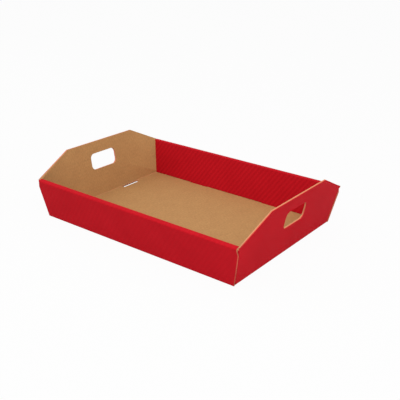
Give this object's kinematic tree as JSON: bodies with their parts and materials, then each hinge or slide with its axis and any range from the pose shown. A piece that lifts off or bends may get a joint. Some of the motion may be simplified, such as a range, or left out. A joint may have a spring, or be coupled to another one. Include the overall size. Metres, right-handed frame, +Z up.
{
  "type": "cardboard tray box",
  "caption": "Open corrugated tray with double rolled-over side walls, taller sloping end walls with chamfered corners, and a hand hole in each end.",
  "frame": {"origin": "centre of the base on its underside", "axes": "+X along the length, from hand hole to hand hole; +Z up, out of the open top"},
  "size_m": [0.4394, 0.322, 0.1046],
  "materials": {
    "corrugated_board": "single-wall corrugated board, printed matt red on the outer liner, plain kraft on the inner liner and the cut edges"
  },
  "bodies": {
    "root": {"tray_sheet": "corrugated_board"}
  },
  "joints": []
}
